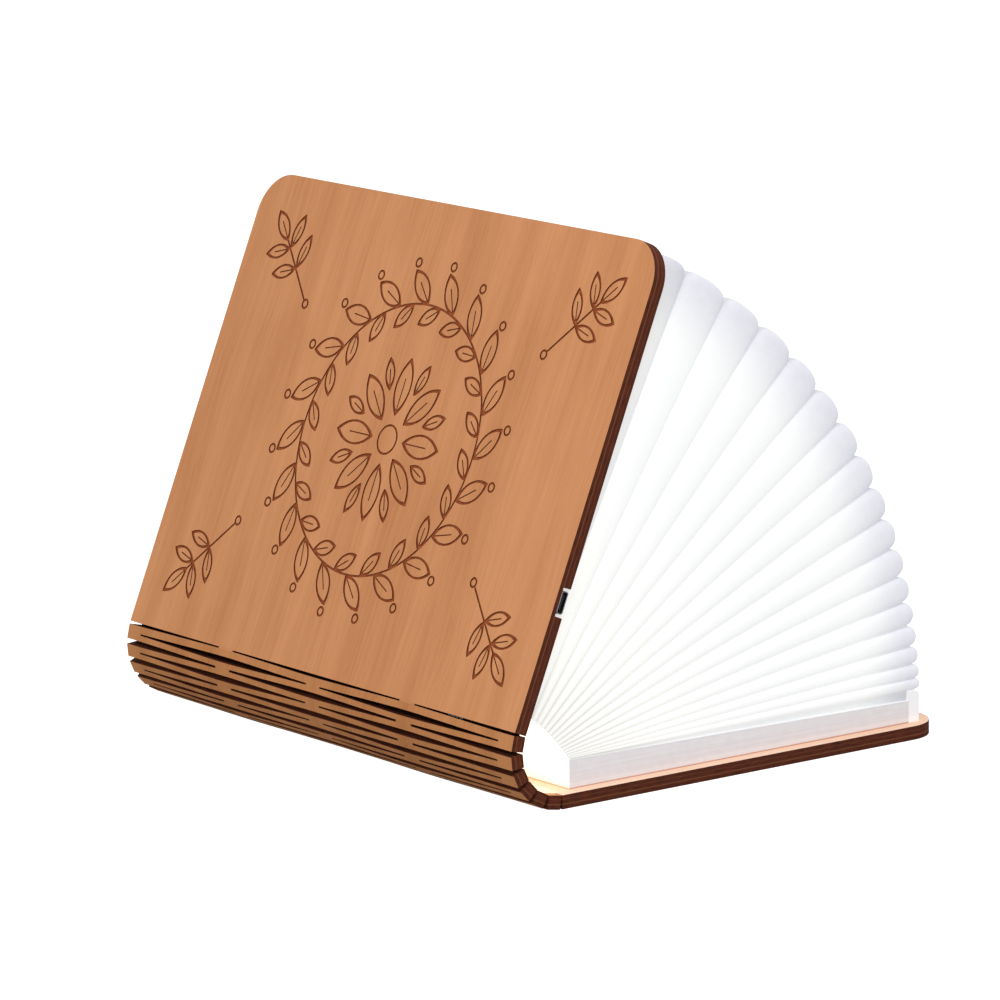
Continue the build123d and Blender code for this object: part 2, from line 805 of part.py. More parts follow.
# Band on the spine side: up from the cover, then along the roots of the pages to the front cover
band_outer = box_start - band_thickness
band_turn = box_top(box_start)
band_high = root_point(1.0)
with BuildPart() as core_band:
    with BuildSketch(side_plane(half_block)):
        low_in = (box_start, band_turn)
        low_out = moved(root_low, degrees(atan2(root_normal[1], root_normal[0])), band_thickness)
        high_in = band_high
        high_out = (
            band_high[0] - band_thickness * root_normal[0],
            band_high[1] - band_thickness * root_normal[1],
        )
        middle_in = root_point(0.5)
        middle_out = root_point(0.5, -band_thickness)
        turn_out = (band_outer, band_turn)
        with BuildLine():
            Line((box_start, box_floor), low_in)
            Line(low_in, root_low)
            ThreePointArc(root_low, middle_in, high_in)
            Line(high_in, high_out)
            ThreePointArc(high_out, middle_out, turn_out)
            Line(turn_out, (band_outer, box_floor))
            Line((band_outer, box_floor), (box_start, box_floor))
        make_face()
    extrude(amount=block_length)
    # Slot in the band's foot for the ribbon
    with BuildSketch(side_plane(ribbon_y + ribbon_opening / 2)):
        with Locations((box_start, bay_floor + ribbon_slot_height / 2)):
            Rectangle(4 * band_thickness, ribbon_slot_height)
    extrude(amount=ribbon_opening, mode=Mode.SUBTRACT)
core_band.part.label = "core_band"

# Ribbon: from the pocket, along its groove, over the strips, down to the box and through the slots
lying = half_thickness + ribbon_clearance
in_groove = half_thickness - ribbon_thickness
ribbon_route = [on_body(front, groove_start + ribbon_tail, -in_groove)]
ribbon_route.append(on_body(front, cover_start + ribbon_lead, -in_groove))
for number in range(strip_count, 0, -1):
    ribbon_route.append(on_body(number, strip_pitch / 2, -lying))
ribbon_rise = bay_floor + (ribbon_slot_height - ribbon_thickness) / 2
ribbon_route.append((spine_edge + ribbon_lead, cover_thickness + ribbon_clearance))
ribbon_route.append((band_outer - 2 * ribbon_lead, cover_thickness + ribbon_clearance))
ribbon_route.append((band_outer - ribbon_lead / 2, ribbon_rise))
ribbon_route.append((partition_end + ribbon_tail, ribbon_rise))


with BuildPart() as charge_ribbon:
    with BuildSketch(side_plane(ribbon_y + ribbon_width / 2)):
        with BuildLine():
            Polyline(*ribbon_route)
            offset(amount=ribbon_thickness, kind=Kind.INTERSECTION, side=Side.LEFT)
        make_face()
    extrude(amount=ribbon_width)
charge_ribbon.part.label = "charge_ribbon"

made = [
    back_face_sheet.part,
    back_core_board.part,
    back_magnets.part,
    front_face_sheet.part,
    front_core_board.part,
    front_magnets.part,
    *strips,
    *webs,
    *pages,
    core_band.part,
    tray_solid,
    light_box_lid.part,
    light_diffuser.part,
    light_box_end_fold.part,
    battery_pad.part,
    battery_cell.part,
    battery_leads.part,
    driver_board.part,
    driver_chips.part,
    led_board.part,
    led_chips.part,
    led_leads.part,
    charge_socket.part,
    charge_socket_tongue.part,
    charge_board.part,
    charge_chips.part,
    charge_ribbon.part,
    back_end_paper.part,
    front_end_paper.part,
]
for piece in made:
    export_step(piece, f"parts/{piece.label}.step")

print("hinge axes", [tuple(round(v, 3) for v in hinge_point(n)) for n in range(1, front + 1)])
print("bend of a full row here", joint_bend, "closed", joint_bend * 180.0 / (180.0 - opening_angle))
print("front cover's outer spine corner", on_body(front, cover_start, half_thickness))
print("fan", round(fan_low, 2), round(fan_high, 2), "centre", fan_centre)
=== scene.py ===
import json
import bmesh
import bpy
import numpy as np
from mathutils import Matrix, Vector


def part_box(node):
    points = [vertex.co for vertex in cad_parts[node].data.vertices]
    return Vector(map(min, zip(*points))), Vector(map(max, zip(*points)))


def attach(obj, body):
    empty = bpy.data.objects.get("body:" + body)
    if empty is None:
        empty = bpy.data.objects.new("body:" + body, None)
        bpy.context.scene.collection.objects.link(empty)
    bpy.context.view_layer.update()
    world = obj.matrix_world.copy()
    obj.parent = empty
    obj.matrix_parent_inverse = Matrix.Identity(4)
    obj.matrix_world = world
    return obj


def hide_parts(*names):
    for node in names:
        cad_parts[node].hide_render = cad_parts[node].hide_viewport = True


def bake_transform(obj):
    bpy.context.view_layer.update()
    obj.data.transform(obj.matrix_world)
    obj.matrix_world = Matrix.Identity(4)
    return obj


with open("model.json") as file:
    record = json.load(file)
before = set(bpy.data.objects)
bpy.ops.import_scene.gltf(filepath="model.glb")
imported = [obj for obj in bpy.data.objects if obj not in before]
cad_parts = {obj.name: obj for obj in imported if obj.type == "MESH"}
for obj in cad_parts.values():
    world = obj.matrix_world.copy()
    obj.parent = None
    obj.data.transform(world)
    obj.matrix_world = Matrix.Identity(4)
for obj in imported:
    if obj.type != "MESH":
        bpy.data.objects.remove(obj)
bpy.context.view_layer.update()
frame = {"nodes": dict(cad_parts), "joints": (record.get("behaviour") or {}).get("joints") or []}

nodes = frame["nodes"]

# The spine as the model gives it: a hinge point and a heading for each body, all in metres
spine = {
    "bodies": ["back_cover"] + [f"spine_strip_{k}" for k in range(1, 7)] + ["front_cover"],
    "openingAngle": 67.5,
    "halfThickness": 0.0023,
    "pitch": 0.0056,
    "slot": 0.00125,
    "endRowShare": 0.5,                   # the rows beside the covers bend this share of what the others do
}
halfThickness = spine["halfThickness"]
hingeCount = len(spine["bodies"]) - 1
rowShares = np.array([0.0, spine["endRowShare"], *[1.0] * (hingeCount - 2), spine["endRowShare"]])
turnShare = np.cumsum(rowShares) / rowShares.sum()  # how far each body has turned: 0 back, 1 front cover
hingePlace = {joint["name"]: joint["pos_m"] for joint in frame["joints"]}
hinges = np.array([hingePlace[f"spine_hinge_{k}"] for k in range(1, hingeCount + 1)])[:, [0, 2]]


def headingOf(body):  # direction of a spine body's own X axis in the XZ plane, in degrees
    return 180.0 - (180.0 - spine["openingAngle"]) * turnShare[body]


def onBody(body, along, out):  # XZ place of a point given along and out of a spine body
    angle = np.radians(headingOf(body))
    x, z = hinges[max(body, 1) - 1]
    return np.array([x + along * np.cos(angle) - out * np.sin(angle),
                     z + along * np.sin(angle) + out * np.cos(angle)])


def meshPiece(name, places, faces, smooth=True, attributes=None, sharpAngle=None):
    mesh = bpy.data.meshes.new(name)
    mesh.from_pydata(places.tolist(), [], [list(face) for face in faces])
    for key, values in (attributes or {}).items():
        layer = mesh.attributes.new(key, "FLOAT", "POINT")
        layer.data.foreach_set("value", np.asarray(values, np.float32).ravel())
    shape = bmesh.new()
    shape.from_mesh(mesh)
    bmesh.ops.recalc_face_normals(shape, faces=shape.faces)
    shape.to_mesh(mesh)
    shape.free()
    mesh.polygons.foreach_set("use_smooth", np.full(len(mesh.polygons), smooth))
    if sharpAngle is not None:
        mesh.set_sharp_from_angle(angle=np.radians(sharpAngle))
    piece = bpy.data.objects.new(name, mesh)
    bpy.context.scene.collection.objects.link(piece)
    return piece


def gridFaces(rows, columns, closed):  # quads of a rows x columns grid, its columns joined round if closed
    last = columns if closed else columns - 1
    row, column = np.meshgrid(np.arange(rows - 1), np.arange(last), indexing="ij")
    following = (column + 1) % columns
    corners = [row * columns + column, row * columns + following,
               (row + 1) * columns + following, (row + 1) * columns + column]
    return np.stack(corners, -1).reshape(-1, 4)


def setMaterial(piece, material):
    piece.data.materials.clear()
    piece.data.materials.append(material)


def dress(material, *names):  # a CAD node keeps its shape and gets a better material
    for name in names:
        for place in nodes[name].material_slots:
            place.material = material


def fillInputs(tree, inputs, values):  # each value is another node's output to link, or a constant
    for key, value in values.items():
        if isinstance(value, bpy.types.NodeSocket):
            tree.links.new(value, inputs[key])
        else:
            inputs[key].default_value = value


def addNode(tree, kind, values=None, **settings):
    made = tree.nodes.new(kind)
    for key, value in settings.items():
        setattr(made, key, value)
    fillInputs(tree, made.inputs, values or {})
    return made


def newGroup(name, inputs, outputs):
    tree = bpy.data.node_groups.new(name, "ShaderNodeTree")
    for label, kind, value in inputs:
        socket = tree.interface.new_socket(name=label, in_out="INPUT", socket_type=kind)
        if value is not None:
            socket.default_value = value
    for label, kind in outputs:
        tree.interface.new_socket(name=label, in_out="OUTPUT", socket_type=kind)
    return tree, tree.nodes.new("NodeGroupInput").outputs, tree.nodes.new("NodeGroupOutput").inputs


def useGroup(tree, group, values):
    made = tree.nodes.new("ShaderNodeGroup")
    made.node_tree = group
    fillInputs(tree, made.inputs, values)
    return made.outputs


def maths(tree, operation, first, second=0.0, clamp=False):
    made = addNode(tree, "ShaderNodeMath", {0: first, 1: second}, operation=operation, use_clamp=clamp)
    return made.outputs[0]


def ramp(tree, value, low, high, start=0.0, end=1.0):  # smooth step from start to end over low to high
    ends = {"Value": value, "From Min": low, "From Max": high, "To Min": start, "To Max": end}
    return addNode(tree, "ShaderNodeMapRange", ends, interpolation_type="SMOOTHSTEP").outputs["Result"]


def mixColour(tree, share, first, second, blend="MIX"):  # sockets 6, 7 and 2 are the colour ones
    made = addNode(tree, "ShaderNodeMix", {0: share, 6: first, 7: second}, data_type="RGBA",
                   blend_type=blend)
    return made.outputs[2]


def noise(tree, vector, scale, detail=3.0, roughness=0.5):
    made = addNode(tree, "ShaderNodeTexNoise", {"Vector": vector, "Scale": scale, "Detail": detail,
                                                "Roughness": roughness})
    return made.outputs["Fac"]


def stretched(tree, vector, scale):
    return addNode(tree, "ShaderNodeMapping", {"Vector": vector, "Scale": scale}).outputs[0]


def newMaterial(name):
    material = bpy.data.materials.new(name)
    material.use_nodes = True
    tree = material.node_tree
    return material, tree, tree.nodes["Principled BSDF"].inputs


def putBump(tree, shader, height, strength, distance):
    bump = addNode(tree, "ShaderNodeBump", {"Height": height, "Strength": strength,
                                            "Distance": distance})
    tree.links.new(bump.outputs[0], shader["Normal"])


def colour(red, green, blue):  # screen colour 0 to 255 to the linear value Blender wants
    part = np.array([red, green, blue]) / 255.0
    linear = np.where(part <= 0.04045, part / 12.92, ((part + 0.055) / 1.055) ** 2.4)
    return (*linear.tolist(), 1.0)


woodLook = {
    "outerLight": colour(227, 160, 110),
    "outerDark": colour(190, 121, 75),
    # the strips' colours are darker copies of the outer ones: painted shade
    "stripLight": colour(214, 148, 95),
    "stripDark": colour(172, 108, 61),
    "innerLight": colour(253, 219, 194),
    "innerDark": colour(238, 192, 160),
    "contrast": 0.85,
    "roughness": 0.6,
    "specular": 0.12,
    "bump": (0.25, 0.0001),               # strength, depth
    "wanderScale": (9.0, 30.0, 30.0),     # scales along, across and through the grain, per metre
    "bandScale": (5.0, 75.0, 75.0),
    "fibreScale": (28.0, 900.0, 900.0),
    "fleckScale": (130.0, 1500.0, 1500.0),
    "cloudScale": 22.0,
    "wanderBy": 0.012,                    # how far the grain wanders sideways, in metres
    "bandShare": 0.42,                    # what each adds to the dark colour
    "fibreShare": 0.3,
    "cloudShare": 0.14,
    "fleckShare": 0.22,
    "fleckDepth": 0.6,
    "engraved": colour(142, 68, 32),
    "engravedLight": colour(168, 88, 46),
    "engravedScale": (500.0, 500.0, 500.0),
    "engravingTop": 0.00222,              # the engraving's floor lies below this level of the sheet
    "engravingStep": 0.0001,
}
edgeLook = {
    "scorch": colour(98, 47, 31),
    "soot": colour(52, 24, 15),
    "sootShare": 0.75,
    "sootScale": (260.0, 260.0, 2600.0),
    "glue": colour(126, 78, 50),
    "roughness": 0.8,
    "bondLevel": 0.0007,                  # the joint between sheet and board
    "bondHalf": (0.0001, 0.00034),        # from the middle of its line to its outer side
    "bondShare": 0.7,
    "coreLevel": -0.0009,                 # a fainter ply joint inside the board
    "coreHalf": (0.00005, 0.0002),
    "coreShare": 0.4,
}


def makeWoodGrain():  # fine fibres and slow bands that run along X of the given vector
    tree, given, result = newGroup("woodGrain", [
        ("Vector", "NodeSocketVector", None), ("Light", "NodeSocketColor", woodLook["outerLight"]),
        ("Dark", "NodeSocketColor", woodLook["outerDark"]), ("Contrast", "NodeSocketFloat", 1.0),
    ], [("Color", "NodeSocketColor"), ("Height", "NodeSocketFloat")])
    wander = noise(tree, stretched(tree, given["Vector"], woodLook["wanderScale"]), 1.0, 2.0)
    wander = maths(tree, "MULTIPLY", wander, woodLook["wanderBy"])
    sideways = addNode(tree, "ShaderNodeCombineXYZ", {1: wander}).outputs[0]
    shifted = addNode(tree, "ShaderNodeVectorMath", {0: given["Vector"], 1: sideways}).outputs[0]
    bands = noise(tree, stretched(tree, shifted, woodLook["bandScale"]), 1.0, 3.0, 0.55)
    fibres = noise(tree, stretched(tree, shifted, woodLook["fibreScale"]), 1.0, 4.0, 0.6)
    flecks = noise(tree, stretched(tree, shifted, woodLook["fleckScale"]), 1.0, 1.0)
    clouds = noise(tree, given["Vector"], woodLook["cloudScale"], 2.0)
    share = maths(tree, "ADD", maths(tree, "MULTIPLY", ramp(tree, bands, 0.3, 0.72), woodLook["bandShare"]),
                  maths(tree, "MULTIPLY", ramp(tree, fibres, 0.3, 0.75), woodLook["fibreShare"]))
    share = maths(tree, "ADD", share,
                  maths(tree, "MULTIPLY", ramp(tree, clouds, 0.35, 0.7), woodLook["cloudShare"]))
    share = maths(tree, "ADD", share, ramp(tree, flecks, 0.66, 0.76, 0.0, woodLook["fleckShare"]))
    share = maths(tree, "MULTIPLY", share, given["Contrast"], clamp=True)
    tree.links.new(mixColour(tree, share, given["Light"], given["Dark"]), result["Color"])
    pits = maths(tree, "MULTIPLY", ramp(tree, flecks, 0.64, 0.76), woodLook["fleckDepth"])
    tree.links.new(maths(tree, "SUBTRACT", fibres, pits), result["Height"])
    return tree


def makeLaserEdge():  # scorches the sides of the sheet, with a paler line at each of two ply joints
    tree, given, result = newGroup("laserEdge", [
        ("Color", "NodeSocketColor", None), ("Vector", "NodeSocketVector", None),
        ("Facing", "NodeSocketFloat", 1.0), ("Level", "NodeSocketFloat", 0.0),
        ("Scorch", "NodeSocketColor", edgeLook["scorch"]), ("Glue", "NodeSocketColor", edgeLook["glue"]),
    ], [("Color", "NodeSocketColor"), ("Mask", "NodeSocketFloat")])
    side = ramp(tree, given["Facing"], 0.45, 0.75, 1.0, 0.0)
    streaks = noise(tree, stretched(tree, given["Vector"], edgeLook["sootScale"]), 1.0, 3.0)
    scorched = mixColour(tree, ramp(tree, streaks, 0.35, 0.7, 0.0, edgeLook["sootShare"]),
                         given["Scorch"], edgeLook["soot"])
    for joint in ("bond", "core"):
        away = maths(tree, "ABSOLUTE", maths(tree, "SUBTRACT", given["Level"], edgeLook[f"{joint}Level"]))
        glueLine = ramp(tree, away, *edgeLook[f"{joint}Half"], edgeLook[f"{joint}Share"], 0.0)
        scorched = mixColour(tree, glueLine, scorched, given["Glue"])
    tree.links.new(mixColour(tree, side, given["Color"], scorched), result["Color"])
    tree.links.new(side, result["Mask"])
    return tree


def makePaperFibre():  # matted fibres: soft clouds with fine strands in them
    tree, given, result = newGroup("paperFibre", [
        ("Vector", "NodeSocketVector", None), ("Size", "NodeSocketFloat", 0.004),
    ], [("Mask", "NodeSocketFloat"), ("Height", "NodeSocketFloat")])
    scale = maths(tree, "DIVIDE", 1.0, given["Size"])
    clouds = noise(tree, given["Vector"], scale, 4.0, 0.6)
    strands = noise(tree, given["Vector"], maths(tree, "MULTIPLY", scale, 7.0), 2.0)
    mask = maths(tree, "ADD", maths(tree, "MULTIPLY", clouds, 0.65), maths(tree, "MULTIPLY", strands, 0.35))
    tree.links.new(ramp(tree, mask, 0.35, 0.65), result["Mask"])
    tree.links.new(mask, result["Height"])
    return tree


woodGrain = makeWoodGrain()
laserEdge = makeLaserEdge()
paperFibre = makePaperFibre()


def woodMaterial(name, body, tone="outer", engraved=False):  # wood in the frame of a spine body
    material, tree, shader = newMaterial(name)
    place = addNode(tree, "ShaderNodeTexCoord")
    angle = np.radians(headingOf(body))
    x, z = hinges[max(body, 1) - 1]
    shift = (-(x * np.cos(angle) + z * np.sin(angle)), 0.0, x * np.sin(angle) - z * np.cos(angle))
    local = addNode(tree, "ShaderNodeMapping", {"Vector": place.outputs["Object"], "Location": shift,
                                                "Rotation": (0.0, angle, 0.0)}).outputs[0]
    facing = addNode(tree, "ShaderNodeVectorMath", {0: place.outputs["Normal"],
                                                    1: (-np.sin(angle), 0.0, np.cos(angle))},
                     operation="DOT_PRODUCT").outputs["Value"]
    level = addNode(tree, "ShaderNodeSeparateXYZ", {0: local}).outputs[2]
    grain = useGroup(tree, woodGrain, {"Vector": local, "Light": woodLook[f"{tone}Light"],
                                       "Dark": woodLook[f"{tone}Dark"], "Contrast": woodLook["contrast"]})
    faceColour = grain["Color"]
    if engraved:
        top = woodLook["engravingTop"]
        sunk = ramp(tree, level, top - woodLook["engravingStep"], top, 1.0, 0.0)
        floor = maths(tree, "MULTIPLY", sunk, ramp(tree, facing, 0.2, 0.6))
        soot = noise(tree, stretched(tree, local, woodLook["engravedScale"]), 1.0, 2.0)
        line = mixColour(tree, ramp(tree, soot, 0.3, 0.7), woodLook["engraved"], woodLook["engravedLight"])
        faceColour = mixColour(tree, floor, faceColour, line)
    edge = useGroup(tree, laserEdge, {"Color": faceColour, "Vector": local,
                                      "Facing": maths(tree, "ABSOLUTE", facing), "Level": level})
    tree.links.new(edge["Color"], shader["Base Color"])
    rough = addNode(tree, "ShaderNodeMapRange", {"Value": edge["Mask"], "To Min": woodLook["roughness"],
                                                 "To Max": edgeLook["roughness"]}).outputs["Result"]
    tree.links.new(rough, shader["Roughness"])
    shader["Specular IOR Level"].default_value = woodLook["specular"]
    putBump(tree, shader, grain["Height"], *woodLook["bump"])
    return material


outerWood = []
for k in range(hingeCount + 1):
    # the strips get the darker copy of the outer wood, which is painted shade
    tone = "outer" if k in (0, hingeCount) else "strip"
    outerWood.append(woodMaterial(f"outerWood{k}", k, tone, engraved=k == hingeCount))
innerBack = woodMaterial("innerWoodBack", 0, "inner")
innerFront = woodMaterial("innerWoodFront", hingeCount, "inner")
dress(outerWood[0], "back_face_sheet")
dress(innerBack, "back_core_board")
dress(outerWood[hingeCount], "front_face_sheet")
dress(innerFront, "front_core_board")
for k in range(1, hingeCount):
    dress(outerWood[k], f"spine_strip_{k}")
print("wood done")

# Strips of the living hinge. Each is two slats that twist and bow between its bridges and the webs beside it.
strip = {
    "halfLength": 0.1075,
    "webPlace": 0.05075,
    "webHalf": 0.004,
    "bridgeHalf": 0.00375,
    "slotEnd": 0.1,
    "rowHalf": (0.000625, 0.00038),       # half of a row's slot: at the bridges, at the webs
    "coverRowHalf": (0.00005, -0.0001),   # the strip's side of the rows beside the covers
    "midHalf": (0.000275, 0.000625),      # half of the slot inside the strip
    "endStep": 0.00002,                   # how suddenly a slot begins and ends
    "straightShare": 0.6,                 # of the bow, the rest is a smooth step
    "samples": 14,
}
twist = np.radians((180.0 - spine["openingAngle"]) * spine["endRowShare"] / rowShares.sum())


def turnedPoint(along, out, angle, pivot):  # a point of a strip's section turned about a hinge
    reach = along - pivot
    return pivot + reach * np.cos(angle) - out * np.sin(angle), reach * np.sin(angle) + out * np.cos(angle)


def stripPlaces():
    # Places along the spine and the bow there: 0 at the bridges and the ends, 1 at the webs, straight between
    step, samples = strip["endStep"], strip["samples"]
    inner = np.linspace(strip["bridgeHalf"] + step, strip["webPlace"] - strip["webHalf"], samples)
    outer = np.linspace(strip["webPlace"] + strip["webHalf"], strip["slotEnd"] - step, samples)
    half = np.concatenate([[0.0, strip["bridgeHalf"]], inner, outer,
                           [strip["slotEnd"], strip["halfLength"]]])
    run = np.concatenate([[0, 0], np.linspace(0, 1, samples), np.linspace(1, 0, samples), [0, 0]])
    opened = np.concatenate([[0, 0], np.ones(2 * samples), [0, 0]])
    straight = strip["straightShare"]
    bow = straight * run + (1 - straight) * run * run * (3 - 2 * run)
    return (np.concatenate([-half[:0:-1], half]), np.concatenate([bow[:0:-1], bow]),
            np.concatenate([opened[:0:-1], opened]))


def between(pair, share):
    return pair[0] + (pair[1] - pair[0]) * share


def barFaces(rows):  # a bar of four corners in each row, joined round and closed at both ends
    ends = np.array([[3, 2, 1, 0], np.arange(4) + 4 * (rows - 1)])
    return np.concatenate([gridFaces(rows, 4, True), ends])


def makeSlat(number, upper):
    # Section: a rectangle from the row's slot to the strip's own slot, turned about the hinge by bow x twist
    y, bow, opened = stripPlaces()
    besideCover = number == (hingeCount - 1 if upper else 1)
    row = between(strip["coverRowHalf"] if besideCover else strip["rowHalf"], bow)
    side = 1 if upper else -1
    middle = spine["pitch"] / 2 + side * opened * between(strip["midHalf"], bow)
    outside = spine["pitch"] - row if upper else row
    alongs = np.stack([outside, middle, middle, outside], -1)
    outs = np.broadcast_to(np.array([-1, -1, 1, 1]) * halfThickness, alongs.shape)
    angle = (bow * twist * -side)[:, None]
    along, out = turnedPoint(alongs, outs, angle, spine["pitch"] if upper else 0.0)
    xz = onBody(number, along, out)
    corners = np.stack([xz[0], np.broadcast_to(y[:, None], along.shape), xz[1]], -1)
    slat = meshPiece(f"stripSlat{number}{'b' if upper else 'a'}", corners.reshape(-1, 3),
                     barFaces(len(y)), smooth=False)
    setMaterial(slat, outerWood[number])
    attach(slat, spine["bodies"][number])
    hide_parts(f"spine_strip_{number}")


for k in range(1, hingeCount):
    makeSlat(k, False)
    makeSlat(k, True)
print("spine strips done")

# Webs of the living hinge, each running from the face of one body to the face of the next it joins
web = {"rows": 7, "overlap": 0.00004}


def webSide(body, number):  # inner and outer corner of the face of a body that the web of a row meets
    outs = np.array([-halfThickness, halfThickness])
    after = body == number
    sign = 1 if after else -1
    if body in (0, hingeCount):  # a cover's straight edge
        reach = spine["slot"] / 2 + web["overlap"]
        return onBody(body, sign * reach, outs).T
    besideCover = number in (1, hingeCount)
    row = (strip["coverRowHalf"] if besideCover else strip["rowHalf"])[1] + web["overlap"]
    pivot = 0.0 if after else spine["pitch"]
    along, out = turnedPoint(pivot + sign * row, outs, sign * twist, pivot)
    return onBody(body, along, out).T


def makeWeb(number):  # short blocks on straight rulings, from the face of one body to the face of the next
    far, near = webSide(number - 1, number), webSide(number, number)
    share = np.linspace(0.0, 1.0, web["rows"])[:, None, None]
    lines = far[None] * (1 - share) + near[None] * share  # rows x (inner, outer) x (x, z)
    places, faces = [], []
    for side in (-1, 1):
        low = side * strip["webPlace"] - strip["webHalf"]
        high = low + 2 * strip["webHalf"]
        xz = lines[:, [0, 1, 1, 0]]
        block = np.stack([xz[..., 0], np.broadcast_to([low, low, high, high], xz.shape[:2]), xz[..., 1]], -1)
        faces.append(barFaces(web["rows"]) + 4 * web["rows"] * len(places))
        places.append(block.reshape(-1, 3))
    piece = meshPiece(f"hingeWebs{number}", np.concatenate(places), np.concatenate(faces), smooth=False)
    setMaterial(piece, outerWood[number])
    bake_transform(piece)
    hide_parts(f"hinge_webs_{number}")


for k in range(1, hingeCount + 1):
    makeWeb(k)
print("hinge webs done")

paperLook = {
    # the glow is painted light from the lamp at the root; the cooler, darker tip colour is painted shade
    "core": colour(254, 254, 251),
    "middle": colour(250, 252, 252),
    "tip": colour(229, 230, 239),
    "coreEnd": (0.1, 0.6),                # where the core's colour starts and ends to change, along a fold
    "tipStart": 0.83,
    "mottle": 0.22,
    "albedo": 0.6,
    "fibreSize": 0.0035,
    "glow": (0.53, 0.545, 0.48),          # at the core, in the middle, at the tips
    "creaseShade": (0.3, 0.05, 0.16),          # painted shade in the creases: how dark it is at the same places
    "creasePower": (1.6, 14.0),           # at the core, and what it gains up to the tips
    "lowSideShade": (0.01, 0.02, 0.05),        # painted shade: how much a fold darkens towards its lower side
    "places": (0.0, 0.35, 1.0),           # core, middle and tips, along a fold
    "roughness": 0.8,
    "specular": 0.1,
    "bump": (0.35, 0.00025),              # strength, depth
}


def threeValues(tree, along, values):  # smooth from the value at the core over the middle to the tips
    core, middle, tip = paperLook["places"]
    first = ramp(tree, along, core, middle, values[0], values[1])
    change = ramp(tree, along, (middle + 2 * tip) / 3, tip, 0.0, values[2] - values[1])
    return maths(tree, "ADD", first, change)


def pageMaterial():  # white fibre paper with a painted glow from the lamp at its root, and painted shade: cooler and darker at the tips, in the creases and on each fold's lower side
    material, tree, shader = newMaterial("pagePaper")
    place = addNode(tree, "ShaderNodeTexCoord").outputs["Object"]
    along = addNode(tree, "ShaderNodeAttribute", attribute_name="alongFold").outputs["Fac"]
    across = addNode(tree, "ShaderNodeAttribute", attribute_name="acrossFold").outputs["Fac"]
    tone = addNode(tree, "ShaderNodeAttribute", attribute_name="foldToneAndShade").outputs["Fac"]
    fibre = useGroup(tree, paperFibre, {"Vector": place, "Size": paperLook["fibreSize"]})
    body = mixColour(tree, ramp(tree, along, *paperLook["coreEnd"]), paperLook["core"], paperLook["middle"])
    mottled = maths(tree, "ADD", 1.0 - paperLook["mottle"],
                    maths(tree, "MULTIPLY", fibre["Mask"], paperLook["mottle"]))
    # painted shade: the tips turn cooler and darker
    tipShare = maths(tree, "MULTIPLY", ramp(tree, along, paperLook["tipStart"], 1.0), mottled)
    body = mixColour(tree, tipShare, body, paperLook["tip"])
    # The painted crease shade is as wide in millimetres near the core as at the tips, so its power grows
    # along the fold
    lowPower, gain = paperLook["creasePower"]
    power = maths(tree, "ADD", lowPower, maths(tree, "MULTIPLY", along, gain))
    edge = maths(tree, "POWER", maths(tree, "ABSOLUTE", across), power)
    creaseShade = maths(tree, "MULTIPLY", edge, threeValues(tree, along, paperLook["creaseShade"]))
    # painted shade on each fold's lower side
    lowSideShade = maths(tree, "MULTIPLY", ramp(tree, across, -1.0, 0.7, 1.0, 0.0),
                    threeValues(tree, along, paperLook["lowSideShade"]))
    light = maths(tree, "SUBTRACT", 1.0, maths(tree, "ADD", creaseShade, lowSideShade))
    # each fold's own tone, with painted shade on the fold beside the front cover
    light = maths(tree, "MULTIPLY", light, tone)
    base = maths(tree, "MULTIPLY", light, paperLook["albedo"])
    # painted light: the lamp's glow through the paper, graded from the core to the tips
    glow = maths(tree, "MULTIPLY", light, threeValues(tree, along, paperLook["glow"]))
    for value, socket in ((base, "Base Color"), (glow, "Emission Color")):
        grey = addNode(tree, "ShaderNodeCombineColor", {0: value, 1: value, 2: value}).outputs[0]
        tree.links.new(mixColour(tree, 1.0, body, grey, "MULTIPLY"), shader[socket])
    shader["Emission Strength"].default_value = 1.0
    shader["Roughness"].default_value = paperLook["roughness"]
    shader["Specular IOR Level"].default_value = paperLook["specular"]
    putBump(tree, shader, fibre["Height"], *paperLook["bump"])
    return material


cardLook = {
    "fibreSize": 0.003,
    "layerScale": (6.0, 6.0, 700.0),
    "layerShare": 0.6,
    "fibreShare": 0.3,
    "footHeight": 0.0046,                 # the card stands on the back cover's board
    "roughness": 0.7,
    "specular": 0.25,
    "bump": (0.3, 0.0002),
}


def cardMaterial(name, base, streak, glow, foot=()):
    # Paper or card with faint layers, and painted shade at its foot as pairs of (height where it ends,
    # colour)
    material, tree, shader = newMaterial(name)
    place = addNode(tree, "ShaderNodeTexCoord").outputs["Object"]
    fibre = useGroup(tree, paperFibre, {"Vector": place, "Size": cardLook["fibreSize"]})
    layers = noise(tree, stretched(tree, place, cardLook["layerScale"]), 1.0, 3.0)
    share = maths(tree, "ADD",
                  maths(tree, "MULTIPLY", ramp(tree, layers, 0.35, 0.7), cardLook["layerShare"]),
                  maths(tree, "MULTIPLY", fibre["Mask"], cardLook["fibreShare"]))
    mixed = mixColour(tree, share, base, streak)
    height = addNode(tree, "ShaderNodeSeparateXYZ", {0: place}).outputs[2]
    # painted shade at the foot
    for top, footShadeTint in foot:
        mixed = mixColour(tree, ramp(tree, height, cardLook["footHeight"], top, 1.0, 0.0), mixed, footShadeTint)
    for socket in ("Base Color", "Emission Color"):
        tree.links.new(mixed, shader[socket])
    shader["Emission Strength"].default_value = glow
    shader["Roughness"].default_value = cardLook["roughness"]
    shader["Specular IOR Level"].default_value = cardLook["specular"]
    putBump(tree, shader, fibre["Height"], *cardLook["bump"])
    return material


# The glow of the pages and of the card and papers below is painted light: the lamp's light shining through
# them
pagePaper = pageMaterial()
